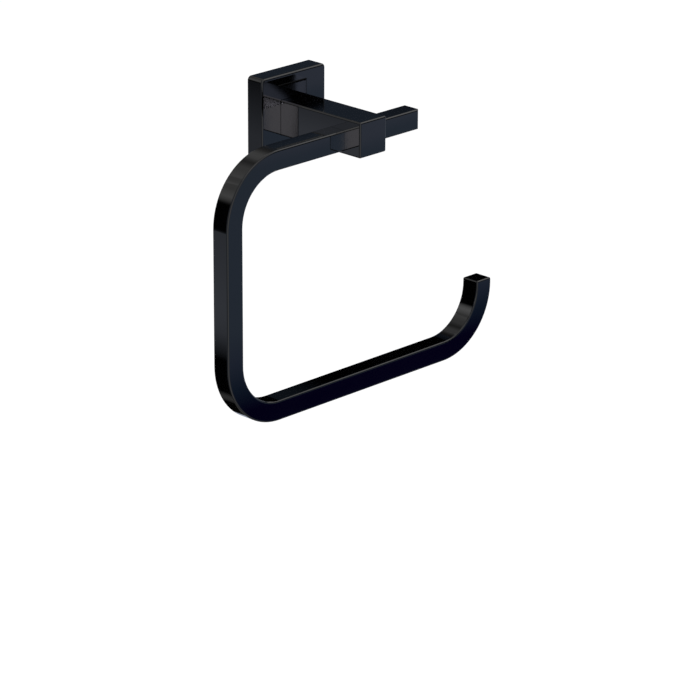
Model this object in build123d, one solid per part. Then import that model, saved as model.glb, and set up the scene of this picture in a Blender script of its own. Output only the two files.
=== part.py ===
"""Square towel holder: a wall flange, an arm standing out from it, and a square bar bent into an open loop.

The origin is the middle of the flange's back, on the wall. X runs along the wall, Z points up, and the
holder stands out along -Y. Lengths are in millimetres.
"""
import os

from build123d import *

# Wall flange: a square cover, hollow and open towards the wall
flange_side = 51.0
flange_depth = 11.5
flange_wall = 3.0
flange_face = 3.5
flange_edge_radius = 1.2
flange_corner_radius = 2.5
flange_inner_radius = 1.5
arm_seat_depth = 1.0

# Support arm: a square bar whose foot sits in a shallow pocket of the flange's face
arm_side = 21.0
arm_reach = 75.0
arm_nose = 12.2
arm_floor = 2.0
arm_edge_radius = 1.0

# Towel bar: sizes along its centre line, right and left of the arm's middle
bar_side = 12.0
bar_edge_radius = 1.0
bend_radius = 34.0
stub_reach = 50.0
loop_left = 96.0
loop_right = 108.5
loop_height = 148.5
hook_straight = 2.8

# Wall bracket: fills the flange, its lower edge undercut at 45 degrees
bracket_thickness = 6.0
bracket_lower_gap = 3.5
bracket_corner_cut = 2.0
bracket_window = 16.0
wall_screw_spacing = 28.0
wall_screw_hole = 4.5
wall_screw_sink = 9.0

# Screws and washer
flange_screw_size = 4.0
flange_screw_setback = 4.0
bar_screw_size = 4.0
bar_screw_bite = 2.0
set_screw_recess = 0.5
set_screw_key = 2.0
set_screw_key_depth = 1.6
arm_screw_size = 6.0
arm_screw_bite = 12.0
arm_screw_head = 10.0
arm_screw_head_height = 4.0
arm_screw_key = 4.0
arm_screw_key_depth = 2.3
washer_diameter = 12.0
washer_thickness = 1.6

# Clearances on each side of a fit
arm_seat_clearance = 0.2
bar_clearance = 0.05
bracket_clearance = 0.3
thread_clearance = 0.05
screw_hole_clearance = 0.2
tap_run_out = 2.0

# Places that follow from the sizes; distances off the wall count along -Y
wall = Plane.XZ
flange_inside = flange_side - 2 * flange_wall
flange_hollow = flange_depth - flange_face
arm_foot = flange_depth - arm_seat_depth
arm_underside = -arm_side / 2
bar_off_wall = arm_reach - arm_nose - bar_side / 2
bar_underside = arm_underside + arm_floor
bar_top_run = bar_underside + bar_side / 2
bracket_lip = -flange_inside / 2 + bracket_lower_gap
arm_screw_seat = flange_hollow - washer_thickness


def pointed_rod(diameter, length):
    """A rod standing on the XY plane, its upper end a right-angled cone whose tip is at the given length."""
    radius = diameter / 2
    outline = Polyline((0, 0), (radius, 0), (radius, length - radius), (0, length), close=True)
    return revolve(make_face(Plane.XZ * outline), Axis.Z)


def set_screw(diameter, length):
    """A headless screw with a cone point at the top and a hexagon socket in its foot."""
    socket = extrude(RegularPolygon(set_screw_key / 2, 6, major_radius=False), set_screw_key_depth)
    return pointed_rod(diameter, length) - socket


def flange_screw_place():
    """Foot and length of the flange's set screw: its cone lies along the undercut of the bracket's lip."""
    foot = -flange_side / 2 + set_screw_recess
    tip = bracket_lip + bracket_thickness - flange_screw_setback - 2 * thread_clearance
    return Pos(0, -flange_screw_setback, foot), tip - foot


def bar_screw_place():
    """Foot and length of the bar's set screw, which points up through the arm's floor into the bar."""
    foot = arm_underside + set_screw_recess
    tip = bar_underside + bar_screw_bite
    return Pos(0, -bar_off_wall, foot), tip - foot


def threaded_hole(place, diameter, length):
    """The room for a set screw, open below its foot and a clearance wider and longer than the screw."""
    room = pointed_rod(diameter + 2 * thread_clearance, length + set_screw_recess + 2 * thread_clearance)
    return place * Pos(0, 0, -set_screw_recess) * room


def bar_outline():
    """The bar's band in the plane of the loop, traced along its bent centre line."""
    bottom_run = bar_top_run - loop_height
    hook_end = bottom_run + bend_radius + hook_straight
    centre_line = FilletPolyline(
        (stub_reach, bar_top_run),
        (-loop_left, bar_top_run),
        (-loop_left, bottom_run),
        (loop_right, bottom_run),
        (loop_right, hook_end),
        radius=bend_radius,
    )
    return trace(centre_line, bar_side)


def make_towel_bar():
    """The bent bar with all its edges rounded, and the dimple for its set screw."""
    bar = extrude(wall.offset(bar_off_wall) * bar_outline(), bar_side / 2, both=True)
    flanks = bar.faces().filter_by(Axis.Y)
    stub_end = bar.faces().filter_by(Axis.X).sort_by(SortBy.AREA)[0]
    hook_end = bar.faces().filter_by(Axis.Z).sort_by(SortBy.AREA)[0]
    end_corners = (stub_end.edges() + hook_end.edges()).filter_by(Axis.Y)
    bar = fillet(flanks.edges() + end_corners, bar_edge_radius)
    place, length = bar_screw_place()
    return bar - threaded_hole(place, bar_screw_size, length)


def make_support_arm():
    """The arm, rounded but for its foot, with the bar's passage and the holes for its two screws."""
    arm = extrude(wall.offset(arm_foot) * Rectangle(arm_side, arm_side), arm_reach - arm_foot)
    nose = arm.faces().sort_by(Axis.Y)[0]
    arm = fillet(nose.edges() + arm.edges().filter_by(Axis.Y), arm_edge_radius)
    passage_side = bar_side + 2 * bar_clearance
    passage_section = RectangleRounded(passage_side, passage_side, bar_edge_radius + bar_clearance)
    passage_plane = Plane.YZ * Pos(-bar_off_wall, bar_top_run)
    passage = extrude(passage_plane * passage_section, arm_side, both=True)
    tapping = extrude(
        wall.offset(arm_foot) * Circle(arm_screw_size / 2 + thread_clearance), arm_screw_bite + tap_run_out
    )
    place, length = bar_screw_place()
    return arm - passage - tapping - threaded_hole(place, bar_screw_size, length)


def make_wall_flange():
    """The hollow cover, with the arm's pocket, the arm screw's hole and the set screw's threaded hole."""
    cover = extrude(wall * RectangleRounded(flange_side, flange_side, flange_corner_radius), flange_depth)
    face = cover.faces().sort_by(Axis.Y)[0]
    cover = fillet(face.edges(), flange_edge_radius)
    hollow = extrude(wall * RectangleRounded(flange_inside, flange_inside, flange_inner_radius), flange_hollow)
    seat_side = arm_side + 2 * arm_seat_clearance
    seat_section = RectangleRounded(seat_side, seat_side, arm_edge_radius + arm_seat_clearance)
    seat = extrude(wall.offset(arm_foot) * seat_section, arm_seat_depth)
    screw_hole = extrude(wall * Circle(arm_screw_size / 2 + screw_hole_clearance), flange_depth)
    place, length = flange_screw_place()
    return cover - hollow - seat - screw_hole - threaded_hole(place, flange_screw_size, length)


def make_wall_bracket():
    """The plate on the wall: undercut lower edge, cut corners, a window and two countersunk holes."""
    half_width = flange_inside / 2 - bracket_clearance
    top = flange_inside / 2 - bracket_clearance
    profile = Plane.YZ * Polyline(
        (0, top),
        (-bracket_thickness, top),
        (-bracket_thickness, bracket_lip),
        (0, bracket_lip + bracket_thickness),
        close=True,
    )
    plate = extrude(make_face(profile), half_width, both=True)
    plate = chamfer(plate.edges().filter_by(Axis.Y), bracket_corner_cut)
    window = extrude(wall * Circle(bracket_window / 2), bracket_thickness)
    front = wall.offset(bracket_thickness)
    sunk_hole = CounterSinkHole(wall_screw_hole / 2, wall_screw_sink / 2, bracket_thickness)
    sunk_holes = [front * spot * sunk_hole for spot in GridLocations(wall_screw_spacing, 0, 2, 1)]
    return plate - window - sunk_holes


def make_arm_screw():
    """A low-head screw: a flat head with a hexagon socket, its shank pointing away from the wall."""
    seat = wall.offset(arm_screw_seat)
    head = extrude(seat * Circle(arm_screw_head / 2), -arm_screw_head_height)
    shank = extrude(seat * Circle(arm_screw_size / 2), arm_foot - arm_screw_seat + arm_screw_bite)
    key = seat.offset(-arm_screw_head_height) * RegularPolygon(arm_screw_key / 2, 6, major_radius=False)
    return head + shank - extrude(key, arm_screw_key_depth)


def make_arm_washer():
    """The flat ring between the arm screw's head and the inside of the flange's face."""
    ring = Circle(washer_diameter / 2) - Circle(arm_screw_size / 2 + screw_hole_clearance)
    return extrude(wall.offset(arm_screw_seat) * ring, washer_thickness)


def make_flange_set_screw():
    """The screw that clamps the flange down on the bracket."""
    place, length = flange_screw_place()
    return place * set_screw(flange_screw_size, length)


def make_bar_set_screw():
    """The screw that holds the bar in the arm."""
    place, length = bar_screw_place()
    return place * set_screw(bar_screw_size, length)


pieces = {
    "wall_flange": make_wall_flange(),
    "support_arm": make_support_arm(),
    "towel_bar": make_towel_bar(),
    "wall_bracket": make_wall_bracket(),
    "flange_set_screw": make_flange_set_screw(),
    "arm_screw": make_arm_screw(),
    "arm_washer": make_arm_washer(),
    "bar_set_screw": make_bar_set_screw(),
}

os.makedirs("parts", exist_ok=True)
for name, piece in pieces.items():
    export_step(piece, f"parts/{name}.step")
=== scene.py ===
import math

import bpy
import numpy as np
from mathutils import Matrix, Vector


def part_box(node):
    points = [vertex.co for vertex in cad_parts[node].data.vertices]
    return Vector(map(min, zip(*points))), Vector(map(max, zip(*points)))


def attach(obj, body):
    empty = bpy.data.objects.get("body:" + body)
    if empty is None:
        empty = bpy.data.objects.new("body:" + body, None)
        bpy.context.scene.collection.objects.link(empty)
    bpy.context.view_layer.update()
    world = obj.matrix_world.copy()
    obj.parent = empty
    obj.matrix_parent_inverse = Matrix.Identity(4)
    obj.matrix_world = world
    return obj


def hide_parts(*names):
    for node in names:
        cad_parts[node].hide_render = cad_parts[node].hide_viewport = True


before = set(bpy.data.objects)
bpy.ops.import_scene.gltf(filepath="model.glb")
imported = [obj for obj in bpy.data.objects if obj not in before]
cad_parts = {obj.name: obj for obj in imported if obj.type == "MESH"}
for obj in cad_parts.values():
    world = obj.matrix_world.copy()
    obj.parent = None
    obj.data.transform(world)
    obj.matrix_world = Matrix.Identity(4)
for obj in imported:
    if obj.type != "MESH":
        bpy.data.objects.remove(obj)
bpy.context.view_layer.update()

mm = 0.001

# Screws: pitches, sizes, sockets and chamfers
set_screw_pitch = 0.7 * mm
set_screw_key = 2.0 * mm
set_screw_key_depth = 1.6 * mm
set_screw_chamfer = 0.3 * mm
arm_screw_pitch = 1.0 * mm
arm_screw_size = 6.0 * mm
arm_screw_head_height = 4.0 * mm
arm_screw_head_chamfer = 0.6 * mm
arm_screw_point = 0.8 * mm
arm_screw_key = 4.0 * mm
arm_screw_key_depth = 2.3 * mm

# Threads: depth over pitch, root and flank as shares of the wave, blunt tip of a point, steps of the mesh
thread_depth_of_pitch = 0.58
thread_root = 0.2
thread_flank = 0.68
blunt_tip = 0.02 * mm
turn_steps = 72
steps_per_pitch = 14
screw_sharp_angle = 40

# Camera, at the photograph's angle: angles in degrees, lens and sensor in millimetres
camera_azimuth = -45.59
camera_elevation = 20.35
camera_roll = 0.29
camera_distance = 2.11694
camera_target = Vector((0.01789, -0.04, -0.14131))
camera_lens = 186.05
camera_sensor = 36.0

# Studio: the floor, the room, and the places of the flats round the holder, which only its gloss shows
floor_level = -0.75
floor_reach = 7.0
floor_grey = 0.9
floor_lift = 0.34
room_light = 0.75
flat_foot = -0.70
flat_top = 1.35
left_flat = -0.35
arm_card = -0.12
near_right_flat = 0.35
far_right_flat = 0.85
front_flat = -0.42
back_flat = 0.60

# Joints of flats that share a plane: along X at the front, up the back, and along X and Y on the table
front_joint = 0.22
back_joint = 0.36
table_joint_x = 0.12
table_joint_y = 0.38

# Colours of the flats and cards
white = (1.0, 1.0, 1.0)
black = (0.0, 0.0, 0.0)
deep_violet = (0.012, 0.004, 0.115)
night_blue = (0.07, 0.13, 0.27)
slate_blue = (0.20, 0.27, 0.46)
steel_blue = (0.41, 0.485, 0.68)
plate_blue = (0.86, 0.98, 1.35)
pale_mauve = (1.0, 0.97, 1.12)
corner_mauve = (1.0, 0.97, 1.06)


def grey(level):
    """A neutral grey of that brightness."""
    return (level, level, level)


def cool(level):
    """A bluish grey of that brightness."""
    return (0.72 * level, 0.97 * level, 1.40 * level)


def faintly_cool(level):
    """A grey of that brightness with a trace of blue."""
    return (0.90 * level, 0.98 * level, 1.17 * level)


# Surfaces

def mesh_piece(name, points, faces, sharp_angle=30):
    """A mesh object from arrays of points and faces, smooth but for edges above the angle in degrees."""
    mesh = bpy.data.meshes.new(name)
    mesh.from_pydata(points.tolist(), [], faces)
    mesh.shade_smooth()
    mesh.set_sharp_from_angle(angle=math.radians(sharp_angle))
    piece = bpy.data.objects.new(name, mesh)
    bpy.context.scene.collection.objects.link(piece)
    return piece


def turned_faces(rings, steps):
    """Faces of a turned surface: a fan at the first pole, quads from ring to ring, a fan at the last pole.

    Point 0 is the first pole, the rings follow one after another, and the last point is the last pole.
    """
    here = np.arange(steps)
    after = (here + 1) % steps
    last_pole = 1 + rings * steps
    first_fan = np.column_stack((np.zeros(steps, int), 1 + after, 1 + here))
    start = 1 + steps * np.arange(rings - 1)[:, None]
    quads = np.stack((start + here, start + after, start + steps + after, start + steps + here), axis=-1)
    final = 1 + (rings - 1) * steps
    last_fan = np.column_stack((final + here, final + after, np.full(steps, last_pole)))
    return first_fan.tolist() + quads.reshape(-1, 4).tolist() + last_fan.tolist()


def thread_wave(turn, height, pitch):
    """A thread's profile, 0 in its root, 1 on its crest: a clipped triangle wave of height and turn."""
    phase = height / pitch - turn / (2 * math.pi)
    triangle = np.abs(2 * (phase % 1.0) - 1)
    return np.clip((triangle - thread_root) / thread_flank, 0, 1)


def hexagon_radius(turn, across_flats):
    """Distance from the axis to a hexagon socket's wall: half its width over the cosine off the flat."""
    off_flat = (turn + math.pi / 6) % (math.pi / 3) - math.pi / 6
    return across_flats / 2 / np.cos(off_flat)


def screw_rings(head, shank, size, pitch, key, key_depth):
    """Radius and height of a screw's rings, from the socket's floor over rim and thread to the point.

    The socket is a hexagon. The head's rows of radius and height follow, and then the shank, whose radius
    is the smaller of the threaded rod and of the cone that ends it. The crest mask is the thread's wave
    along the shank, and 0 elsewhere.
    """
    turn = 2 * math.pi * np.arange(turn_steps) / turn_steps
    start, end, point = shank
    heights = np.linspace(start, end, int(steps_per_pitch * (end - start) / pitch))[:, None]
    wave = thread_wave(turn, heights, pitch)
    rod = size / 2 - thread_depth_of_pitch * pitch * (1 - wave)
    cone = np.clip((end - heights) / point, 0, 1) * size / 2
    rod = np.minimum(rod, np.maximum(cone, blunt_tip))
    socket = hexagon_radius(turn, key)
    ring = np.ones(turn_steps)
    head_radii = [reach * ring for reach, _ in head]
    head_heights = [rise * ring for _, rise in head]
    radius = np.vstack([socket, socket] + head_radii + [rod])
    height = np.vstack([key_depth * ring, 0 * ring] + head_heights + [heights * ring])
    crest = np.vstack([np.zeros((2 + len(head), turn_steps)), wave])
    return turn, radius, height, crest


def turned_screw(name, node, place, rings, tip_height):
    """A screw turned from its rings of radius and height, put in place, standing in for its CAD node."""
    turn, radius, height, crest = rings
    ring_points = np.stack((radius * np.cos(turn), radius * np.sin(turn), height), axis=-1).reshape(-1, 3)
    poles = np.array([[0, 0, height[0, 0]], [0, 0, tip_height]])
    points = place(np.vstack((poles[:1], ring_points, poles[1:])))
    piece = mesh_piece(name, points, turned_faces(len(radius), turn_steps), screw_sharp_angle)
    mask = piece.data.attributes.new("crest", "FLOAT", "POINT")
    mask.data.foreach_set("value", np.concatenate(([0], crest.ravel(), [0])).astype(np.float32))
    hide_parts(node)
    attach(piece, "root")
    return piece


def set_screw(name, node):
    """A headless screw that points up: a chamfered foot with a socket, a thread, a right-angled cone."""
    low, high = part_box(node)
    axis = (low + high) / 2
    size = high.x - low.x
    length = high.z - low.z
    rim = ((size / 2 - set_screw_chamfer, 0), )
    shank = (set_screw_chamfer, length, size / 2)
    rings = screw_rings(rim, shank, size, set_screw_pitch, set_screw_key, set_screw_key_depth)
    return turned_screw(name, node, lambda p: p + (axis.x, axis.y, low.z), rings, length)


def low_head_screw(name, node):
    """The screw behind the arm: a flat chamfered head with its socket, and a threaded shank along -Y."""
    low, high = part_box(node)
    axis = (low + high) / 2
    head = high.x - low.x
    length = high.y - low.y
    seat = arm_screw_head_height
    rim = (
        (head / 2 - arm_screw_head_chamfer, 0),
        (head / 2, arm_screw_head_chamfer),
        (head / 2, seat),
        (arm_screw_size / 2, seat),
    )
    shank = (seat, length, arm_screw_point)
    rings = screw_rings(rim, shank, arm_screw_size, arm_screw_pitch, arm_screw_key, arm_screw_key_depth)
    spot = np.array((axis.x, high.y, axis.z))
    return turned_screw(name, node, lambda p: spot + p[:, [0, 2, 1]] * (1, -1, 1), rings, length)


# Finishes

def add_node(tree, kind, **sockets):
    """A node of that kind with those of its inputs set, their names written with underscores."""
    node = tree.nodes.new(kind)
    for name, value in sockets.items():
        node.inputs[name.replace("_", " ")].default_value = value
    return node


def new_finish(name):
    """An empty material, its node tree and its shader, with the piece's own coordinates at hand."""
    finish = bpy.data.materials.new(name)
    finish.use_nodes = True
    tree = finish.node_tree
    shader = tree.nodes["Principled BSDF"]
    place = tree.nodes.new("ShaderNodeTexCoord").outputs["Object"]
    return finish, tree, shader, place


def make_surface_breakup():
    """The group that every finish uses: slow patches and a fine grain, both noise from 0 to 1."""
    group = bpy.data.node_groups.new("surface_breakup", "ShaderNodeTree")
    group.interface.new_socket("Place", in_out="INPUT", socket_type="NodeSocketVector")
    for name in ("Patch Scale", "Grain Scale"):
        group.interface.new_socket(name, in_out="INPUT", socket_type="NodeSocketFloat")
    for name in ("Patches", "Grain"):
        group.interface.new_socket(name, in_out="OUTPUT", socket_type="NodeSocketFloat")
    inside = group.nodes.new("NodeGroupInput")
    outside = group.nodes.new("NodeGroupOutput")
    for output, scale, detail in (("Patches", "Patch Scale", 4.0), ("Grain", "Grain Scale", 2.0)):
        noise = add_node(group, "ShaderNodeTexNoise", Detail=detail, Roughness=0.55)
        group.links.new(inside.outputs["Place"], noise.inputs["Vector"])
        group.links.new(inside.outputs[scale], noise.inputs["Scale"])
        spread = add_node(group, "ShaderNodeMapRange", From_Min=0.3, From_Max=0.7)
        group.links.new(noise.outputs["Fac"], spread.inputs["Value"])
        group.links.new(spread.outputs["Result"], outside.inputs[output])
    return group


surface_breakup = make_surface_breakup()


def breakup(tree, place, patch_scale, grain_scale):
    """The surface breakup group placed in a finish."""
    node = tree.nodes.new("ShaderNodeGroup")
    node.node_tree = surface_breakup
    node.inputs["Patch Scale"].default_value = patch_scale
    node.inputs["Grain Scale"].default_value = grain_scale
    tree.links.new(place, node.inputs["Place"])
    return node


def shift_colour(tree, mask, target, first, second):
    """Wires a colour that goes from the first to the second with the mask."""
    mix = tree.nodes.new("ShaderNodeMix")
    mix.data_type = "RGBA"
    mix.inputs["A"].default_value = (*first, 1)
    mix.inputs["B"].default_value = (*second, 1)
    tree.links.new(mask, mix.inputs["Factor"])
    tree.links.new(mix.outputs["Result"], target)
    return mix


def shift_value(tree, mask, target, first, second):
    """Wires a number that goes from the first to the second with the mask."""
    ramp = add_node(tree, "ShaderNodeMapRange", To_Min=first, To_Max=second)
    tree.links.new(mask, ramp.inputs["Value"])
    tree.links.new(ramp.outputs["Result"], target)


def ripple(tree, mask, shader, strength, depth):
    """Wires the mask into the shader as a bump of that depth."""
    bump = add_node(tree, "ShaderNodeBump", Strength=strength, Distance=depth)
    tree.links.new(mask, bump.inputs["Height"])
    tree.links.new(bump.outputs["Normal"], shader.inputs["Normal"])


def make_gloss_black():
    """Gloss black coating: nearly no colour of its own, mirror-smooth, faint patches and orange peel."""
    deep_black = (0.0003, 0.0003, 0.0004)
    soft_black = (0.0010, 0.0010, 0.0012)
    finish, tree, shader, place = new_finish("gloss_black_coating")
    skin = breakup(tree, place, patch_scale=26.0, grain_scale=300.0)
    patches = skin.outputs["Patches"]
    shift_colour(tree, patches, shader.inputs["Base Color"], deep_black, soft_black)
    shift_value(tree, patches, shader.inputs["Roughness"], first=0.02, second=0.045)
    ripple(tree, skin.outputs["Grain"], shader, strength=0.03, depth=0.02 * mm)
    shader.inputs["IOR"].default_value = 1.5
    return finish


def make_plated_steel():
    """Zinc-plated steel: a bluish metal with duller yellowish patches, its grain drawn out along X."""
    bluish = (0.58, 0.60, 0.63)
    yellowish = (0.66, 0.65, 0.61)
    finish, tree, shader, place = new_finish("zinc_plated_steel")
    drawn = add_node(tree, "ShaderNodeMapping", Scale=(0.12, 1.0, 1.0))
    tree.links.new(place, drawn.inputs["Vector"])
    skin = breakup(tree, drawn.outputs["Vector"], patch_scale=120.0, grain_scale=3200.0)
    grain = skin.outputs["Grain"]
    shift_colour(tree, skin.outputs["Patches"], shader.inputs["Base Color"], bluish, yellowish)
    shift_value(tree, grain, shader.inputs["Roughness"], first=0.24, second=0.42)
    ripple(tree, grain, shader, strength=0.35, depth=0.01 * mm)
    shader.inputs["Metallic"].default_value = 1.0
    return finish


def make_black_steel():
    """Blackened steel of the set screws, rubbed brighter on the crests of the thread."""
    thick_film = (0.035, 0.034, 0.034)
    thin_film = (0.07, 0.066, 0.062)
    rubbed_steel = (0.17, 0.16, 0.15)
    finish, tree, shader, place = new_finish("blackened_steel")
    skin = breakup(tree, place, patch_scale=500.0, grain_scale=2600.0)
    grain = skin.outputs["Grain"]
    film = shift_colour(tree, skin.outputs["Patches"], shader.inputs["Base Color"], thick_film, thin_film)
    crest = tree.nodes.new("ShaderNodeAttribute")
    crest.attribute_name = "crest"
    wear = shift_colour(tree, crest.outputs["Fac"], shader.inputs["Base Color"], black, rubbed_steel)
    tree.links.new(film.outputs["Result"], wear.inputs["A"])
    shift_value(tree, grain, shader.inputs["Roughness"], first=0.32, second=0.5)
    ripple(tree, grain, shader, strength=0.3, depth=0.01 * mm)
    shader.inputs["Metallic"].default_value = 1.0
    return finish


def finish_piece(piece, finish):
    """Gives a piece its finish, as its only material."""
    piece.data.materials.clear()
    piece.data.materials.append(finish)


# Studio

def upright_sheet(name, start, end, low, high):
    """A flat upright sheet between two points of the floor plan, from the low to the high level."""
    corners = np.array([(*start, low), (*end, low), (*end, high), (*start, high)])
    return mesh_piece(name, corners, [[0, 1, 2, 3]])


def level_sheet(name, left, right, front, back, level):
    """A flat level sheet that faces up."""
    near = [(left, front, level), (right, front, level)]
    far = [(right, back, level), (left, back, level)]
    return mesh_piece(name, np.array(near + far), [[0, 1, 2, 3]])


def emission_finish(name):
    """A material that only glows and is not sampled as a lamp, its node tree and its emission shader."""
    finish = bpy.data.materials.new(name)
    finish.use_nodes = True
    tree = finish.node_tree
    tree.nodes.remove(tree.nodes["Principled BSDF"])
    glow = tree.nodes.new("ShaderNodeEmission")
    tree.links.new(glow.outputs["Emission"], tree.nodes["Material Output"].inputs["Surface"])
    finish.cycles.emission_sampling = "NONE"
    return finish, tree, glow


def see_through(tree, surface, mask):
    """Wires the surface shader into the material so that it is clear where the mask is 1."""
    blend = tree.nodes.new("ShaderNodeMixShader")
    clear = tree.nodes.new("ShaderNodeBsdfTransparent")
    tree.links.new(mask, blend.inputs["Fac"])
    tree.links.new(surface, blend.inputs[1])
    tree.links.new(clear.outputs["BSDF"], blend.inputs[2])
    tree.links.new(blend.outputs["Shader"], tree.nodes["Material Output"].inputs["Surface"])


def for_gloss_only(sheet):
    """Lets only reflections see a sheet: it lights nothing, casts no shadow and is not in the picture."""
    sheet.visible_camera = False
    sheet.visible_diffuse = False
    sheet.visible_transmission = False
    sheet.visible_volume_scatter = False
    sheet.visible_shadow = False


def studio_flat(name, start, end, levels, along, steps):
    """An upright flat between two levels, whose colour goes along Z or X by steps of place and colour."""
    flat = upright_sheet(name, start, end, *levels)
    finish, tree, glow = emission_finish(name)
    place = tree.nodes.new("ShaderNodeTexCoord")
    split = tree.nodes.new("ShaderNodeSeparateXYZ")
    first, last = steps[0][0], steps[-1][0]
    rise = add_node(tree, "ShaderNodeMapRange", From_Min=first, From_Max=last)
    ramp = tree.nodes.new("ShaderNodeValToRGB")
    tree.links.new(place.outputs["Object"], split.inputs["Vector"])
    tree.links.new(split.outputs[along], rise.inputs["Value"])
    tree.links.new(rise.outputs["Result"], ramp.inputs["Fac"])
    tree.links.new(ramp.outputs["Color"], glow.inputs["Color"])
    elements = ramp.color_ramp.elements
    elements.remove(elements[1])
    for count, (spot, colour) in enumerate(steps):
        position = (spot - first) / (last - first)
        element = elements[0] if count == 0 else elements.new(position)
        element.position = position
        element.color = (*colour, 1)
    finish_piece(flat, finish)
    for_gloss_only(flat)


def soft_card(name, centre, across, rise, border, colour, brightness, mirrored):
    """A glowing card spanned by two half-edges, which fades to black over its border.

    Its points are two parallelograms round the centre: the inner one glows, and the outer one, wider by
    the border, does not, so that the attribute between them falls off evenly. Light that was mirrored
    fewer times than given passes through the card.
    """
    across, rise = np.array(across), np.array(rise)
    signs = np.array([(-1, -1), (1, -1), (1, 1), (-1, 1)])
    inner = signs[:, :1] * across + signs[:, 1:] * rise
    widths = np.linalg.norm(across), np.linalg.norm(rise)
    growth = [1 + border / width for width in widths]
    outer = signs[:, :1] * across * growth[0] + signs[:, 1:] * rise * growth[1]
    edges = [[side, (side + 1) % 4, 4 + (side + 1) % 4, 4 + side] for side in range(4)]
    card = mesh_piece(name, np.array(centre) + np.vstack((outer, inner)), edges + [[4, 5, 6, 7]])
    fade = card.data.attributes.new("glow", "FLOAT", "POINT")
    fade.data.foreach_set("value", np.repeat((0, 1), 4).astype(np.float32))
    finish, tree, glow = emission_finish(name)
    mask = tree.nodes.new("ShaderNodeAttribute")
    mask.attribute_name = "glow"
    shift_value(tree, mask.outputs["Fac"], glow.inputs["Strength"], 0.0, brightness)
    glow.inputs["Color"].default_value = (*colour, 1)
    path = tree.nodes.new("ShaderNodeLightPath")
    too_few = tree.nodes.new("ShaderNodeMath")
    too_few.operation = "LESS_THAN"
    too_few.inputs[1].default_value = mirrored - 0.5
    tree.links.new(path.outputs["Glossy Depth"], too_few.inputs[0])
    see_through(tree, glow.outputs["Emission"], too_few.outputs["Value"])
    finish_piece(card, finish)
    for_gloss_only(card)


def make_left_flats():
    """The flats on the left, side by side from front to back, for the sides and bends that face left."""
    low_light = [
        (-0.246, black), (-0.226, faintly_cool(0.48)), (-0.211, faintly_cool(0.55)),
        (-0.160, faintly_cool(0.42)), (-0.146, faintly_cool(0.33)), (-0.126, black)]
    high_light = [
        (0.072, black), (0.087, grey(0.08)), (0.120, grey(0.62)), (0.152, grey(0.94)), (0.175, grey(0.90)),
        (0.206, grey(0.78)), (0.262, grey(0.59)), (0.420, grey(0.60)), (flat_top, grey(0.40))]
    front_light = [
        (-0.50, faintly_cool(0.18)), (-0.25, faintly_cool(0.34)), (0.00, faintly_cool(0.35)),
        (flat_top, faintly_cool(0.30))]
    far_light = [
        (-0.52, black), (-0.45, grey(0.40)), (-0.10, grey(0.40)), (0.02, black), (0.075, black),
        (0.100, grey(0.47)), (0.146, grey(0.97)), (0.171, grey(1.15)), (0.225, grey(1.37)),
        (0.287, grey(1.15)), (0.360, grey(0.92)), (0.430, grey(0.64)), (0.500, grey(0.58)),
        (flat_top, grey(0.40))]
    strips = (
        ("flat_left_front", -0.25, 0.12, front_light),
        ("flat_left", 0.12, 0.27, low_light + high_light),
        ("flat_left_back", 0.27, 0.375, high_light),
        ("flat_left_far", 0.375, back_flat, far_light),
    )
    for name, near, far, steps in strips:
        studio_flat(name, (left_flat, near), (left_flat, far), (flat_foot, flat_top), "Z", steps)


def make_near_cards():
    """Cards close to the holder: two that brighten the sides of arm and flange, one that shades a bend."""
    side_cards = (("card_arm", 0.02, 0.0853, 1.15), ("card_plate_side", 0.0853, 0.105, 0.75))
    for name, near, far, strength in side_cards:
        studio_flat(name, (arm_card, near), (arm_card, far), (-0.085, 0.03), "Z", [
            (-0.085, faintly_cool(0.48 * strength)), (-0.050, faintly_cool(0.48 * strength)),
            (-0.037, faintly_cool(0.34 * strength)), (-0.018, faintly_cool(0.13 * strength)),
            (0.030, black)])
    shade = [(-0.31, black), (-0.09, black)]
    studio_flat("card_bend_shade", (0.20, 0.165), (0.20, 0.25), (-0.31, -0.09), "Z", shade)


def make_front_flats():
    """The low flats in front: the right one gives the front faces their blue, which darkens downwards."""
    levels = (flat_foot, 0.22)
    studio_flat("flat_front_left", (-0.16, front_flat), (front_joint, front_flat), levels, "X", [
        (-0.16, white), (-0.06, faintly_cool(0.60)), (0.08, faintly_cool(0.42)),
        (front_joint, faintly_cool(0.35))])
    studio_flat("flat_front", (front_joint, front_flat), (far_right_flat, front_flat), levels, "Z", [
        (-0.60, cool(0.40)), (-0.40, cool(0.30)), (-0.350, deep_violet), (-0.338, deep_violet),
        (-0.320, night_blue), (-0.300, slate_blue), (-0.275, cool(0.40)), (-0.160, cool(0.40)),
        (-0.150, steel_blue), (-0.135, steel_blue), (-0.100, black), (0.191, black), (0.198, cool(1.1))])


def make_right_flats():
    """The flats on the right: a near one behind the plane of the wall, and a low one further off."""
    near, far = (near_right_flat, 0.12), (near_right_flat, back_flat)
    studio_flat("flat_near_right", near, far, (flat_foot, 0.60), "Z", [
        (-0.50, faintly_cool(0.60)), (-0.12, faintly_cool(0.45)), (-0.058, black), (0.056, black),
        (0.075, cool(0.034)), (0.130, cool(0.036)), (0.155, cool(0.058)), (0.190, cool(0.06)),
        (0.305, grey(0.07)), (0.379, grey(0.12)), (0.470, grey(0.25)), (0.600, grey(0.40))])
    near, far = (far_right_flat, front_flat), (far_right_flat, back_flat)
    studio_flat("flat_far_right", near, far, (flat_foot, 0.35), "Z", [
        (-0.50, faintly_cool(0.60)), (0.00, faintly_cool(0.35)), (0.35, faintly_cool(0.25))])


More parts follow.
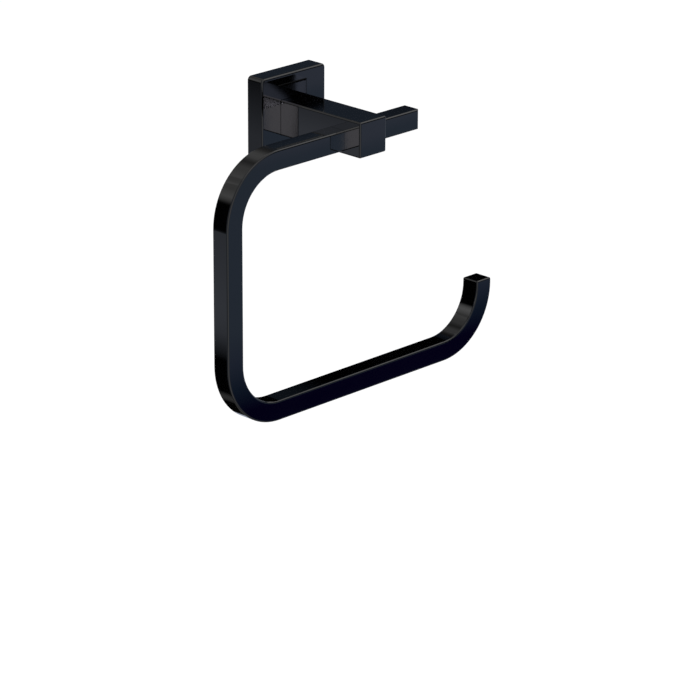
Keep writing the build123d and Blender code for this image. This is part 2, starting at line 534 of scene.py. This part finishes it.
def make_back_flats():
    """The flats at the back, one above the other."""
    left, right = (left_flat, back_flat), (near_right_flat, back_flat)
    studio_flat("flat_back_low", left, right, (flat_foot, back_joint), "Z", [
        (-0.50, grey(0.85)), (back_joint, grey(0.55))])
    studio_flat("flat_back", left, right, (back_joint, flat_top), "X", [
        (-0.32, grey(0.77)), (-0.24, grey(0.63)), (-0.16, grey(0.53)), (-0.09, grey(0.51)),
        (-0.01, grey(0.31)), (0.06, grey(0.18)), (0.13, grey(0.30)), (0.20, grey(0.46)),
        (0.27, grey(0.46)), (0.34, grey(0.38))])


def make_level_flats():
    """The level flats above and below, each of one brightness."""
    sheets = (
        ("flat_ceiling", left_flat, far_right_flat, front_flat, back_flat, flat_top, 0.55),
        ("flat_table", left_flat, table_joint_x, front_flat, table_joint_y, flat_foot, 0.35),
        ("flat_table_right", table_joint_x, far_right_flat, front_flat, table_joint_y, flat_foot, 0.25),
        ("flat_table_back", left_flat, far_right_flat, table_joint_y, back_flat, flat_foot, 0.004),
    )
    for name, left, right, front, back, level, brightness in sheets:
        sheet = level_sheet(name, left, right, front, back, level)
        finish, _, glow = emission_finish(name)
        glow.inputs["Strength"].default_value = brightness
        finish_piece(sheet, finish)
        for_gloss_only(sheet)


def make_soft_cards():
    """The soft cards: a glow on the table, and what the corners between flange, arm and bar mirror.

    A row gives the name, the centre, the half-edges across and up, the border, the colour, the brightness
    and how often light has to be mirrored to see the card. Light that was mirrored twice or three times is
    faint, so the cards for it are bright.
    """
    left_card = left_flat + 2 * mm
    front_card = front_flat + 5 * mm
    rows = (
        ("card_table", (-0.18, 0.455, flat_foot + 10 * mm),
            (0.03, 0, 0), (0, 0.03, 0), 0.09, white, 0.18, 1),
        ("card_corner", (-0.8256, -0.8431, -0.351),
            (0.0100, -0.0098, 0), (0, 0, 0.0190), 0.003, corner_mauve, 17.0, 2),
        ("card_nose", (-0.8053, -0.8560, -0.349),
            (0.0057, -0.0056, 0), (0, 0, 0.0140), 0.0003, cool(1.0), 7.3, 2),
        ("card_bar_top", (left_card, 0.275, 0.1455),
            (0, 0.026, 0), (0, 0, 0.012), 0.008, faintly_cool(1.0), 1.7, 2),
        ("card_bar_edge", (left_card, -0.155, 0.275),
            (0, 0.245, 0), (0, 0, 0.115), 0.02, white, 17.0, 2),
        ("card_plate", (0.3675, front_card, 0.1690),
            (0.012, 0, 0), (0.0092, 0, 0.0075), 0.0055, plate_blue, 1.7, 2),
        ("card_plate_band", (arm_card + 2 * mm, 0.0195, -0.0454),
            (0, 0.0115, 0), (0, 0, 0.006), 0.006, pale_mauve, 362.0, 3),
        ("card_band_edge", (left_card, -0.05, -0.29),
            (0, 0.26, 0), (0, 0, 0.08), 0.02, pale_mauve, 150.0, 3),
        ("card_arm_edge", (0, front_flat + 4 * mm, 0.34),
            (0.30, 0, 0), (0, 0, 0.10), 0.03, pale_mauve, 9.0, 2),
        ("card_stub", (0.42225, front_card, 0.149),
            (0.02125, 0, 0), (0, 0, 0.009), 0.002, plate_blue, 2.5, 2),
        ("card_stub_back", (near_right_flat - 1 * mm, 0.2553, -0.1255),
            (0, 0.0053, 0), (0, 0, 0.0075), 0.0015, plate_blue, 10.6, 2),
    )
    for row in rows:
        soft_card(*row)


def seen_rays(tree):
    """1 for rays from the camera, from gloss and through clear matter, 0 for rays that light objects."""
    path = tree.nodes.new("ShaderNodeLightPath")
    seen = path.outputs["Is Camera Ray"]
    for ray in ("Is Glossy Ray", "Is Transmission Ray"):
        either = tree.nodes.new("ShaderNodeMath")
        either.operation = "MAXIMUM"
        tree.links.new(seen, either.inputs[0])
        tree.links.new(path.outputs[ray], either.inputs[1])
        seen = either.outputs["Value"]
    return seen


def make_floor():
    """The white floor: matt, with the shadow on it, lifted to white where it is seen, clear from below."""
    floor = level_sheet("floor", -floor_reach, floor_reach, -floor_reach, floor_reach, floor_level)
    finish = bpy.data.materials.new("floor_white")
    finish.use_nodes = True
    tree = finish.node_tree
    shader = tree.nodes["Principled BSDF"]
    shader.inputs["Base Color"].default_value = (*grey(floor_grey), 1)
    shader.inputs["Roughness"].default_value = 1.0
    shader.inputs["Specular IOR Level"].default_value = 0.0
    shader.inputs["Emission Color"].default_value = (*white, 1)
    lift = add_node(tree, "ShaderNodeMapRange", To_Min=0.0, To_Max=floor_lift)
    tree.links.new(seen_rays(tree), lift.inputs["Value"])
    tree.links.new(lift.outputs["Result"], shader.inputs["Emission Strength"])
    below = tree.nodes.new("ShaderNodeNewGeometry").outputs["Backfacing"]
    see_through(tree, shader.outputs["BSDF"], below)
    finish_piece(floor, finish)


def make_room_light():
    """The white room: soft light on the object, and plain white where it is seen."""
    world = bpy.data.worlds.new("white_room")
    world.use_nodes = True
    tree = world.node_tree
    shade = tree.nodes["Background"]
    shade.inputs["Color"].default_value = (*white, 1)
    level = add_node(tree, "ShaderNodeMapRange", To_Min=room_light, To_Max=1.0)
    tree.links.new(seen_rays(tree), level.inputs["Value"])
    tree.links.new(level.outputs["Result"], shade.inputs["Strength"])
    bpy.context.scene.world = world


def softbox(name, spot, aim, width, height, brightness):
    """A soft lamp of that size at the spot, turned to the aim, its face as bright as given."""
    lamp = bpy.data.lights.new(name, "AREA")
    lamp.shape = "RECTANGLE"
    lamp.size = width
    lamp.size_y = height
    lamp.energy = 4 * width * height * brightness
    holder = bpy.data.objects.new(name, lamp)
    bpy.context.scene.collection.objects.link(holder)
    away = (Vector(spot) - Vector(aim)).normalized()
    holder.matrix_world = Matrix.LocRotScale(Vector(spot), away.to_track_quat("Z", "Y"), None)
    holder.visible_camera = False


def make_camera():
    """The camera: turned round the holder by azimuth and elevation, then rolled about its own axis."""
    azimuth = math.radians(camera_azimuth)
    elevation = math.radians(camera_elevation)
    roll = math.radians(camera_roll)
    back = Vector((
        math.sin(azimuth) * math.cos(elevation),
        -math.cos(azimuth) * math.cos(elevation),
        math.sin(elevation),
    ))
    level = Vector((math.cos(azimuth), math.sin(azimuth), 0))
    rise = back.cross(level)
    right = level * math.cos(roll) + rise * math.sin(roll)
    up = rise * math.cos(roll) - level * math.sin(roll)
    camera = bpy.data.cameras.new("photo_camera")
    camera.sensor_width = camera_sensor
    camera.lens = camera_lens
    holder = bpy.data.objects.new("photo_camera", camera)
    bpy.context.scene.collection.objects.link(holder)
    turn = Matrix((right, up, back)).transposed().to_4x4()
    holder.matrix_world = Matrix.Translation(camera_target + back * camera_distance) @ turn
    bpy.context.scene.camera = holder


gloss_black = make_gloss_black()
plated_steel = make_plated_steel()
black_steel = make_black_steel()
for node in ("wall_flange", "support_arm", "towel_bar"):
    finish_piece(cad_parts[node], gloss_black)
for node in ("wall_bracket", "arm_washer"):
    finish_piece(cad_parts[node], plated_steel)
finish_piece(low_head_screw("arm_screw_threaded", "arm_screw"), plated_steel)
for node in ("flange_set_screw", "bar_set_screw"):
    finish_piece(set_screw(node + "_threaded", node), black_steel)

make_floor()
make_room_light()
make_left_flats()
make_near_cards()
make_front_flats()
make_right_flats()
make_back_flats()
make_level_flats()
make_soft_cards()
softbox("softbox_right", (0.95, -0.30, 0.95), (0.0, -0.05, -0.05), width=1.1, height=0.7, brightness=0.35)
softbox("softbox_overhead", (-0.4, -0.7, 2.2), (0.0, 0.0, -0.1), width=1.6, height=1.6, brightness=0.5)
make_camera()
bpy.context.scene.view_settings.view_transform = "Standard"
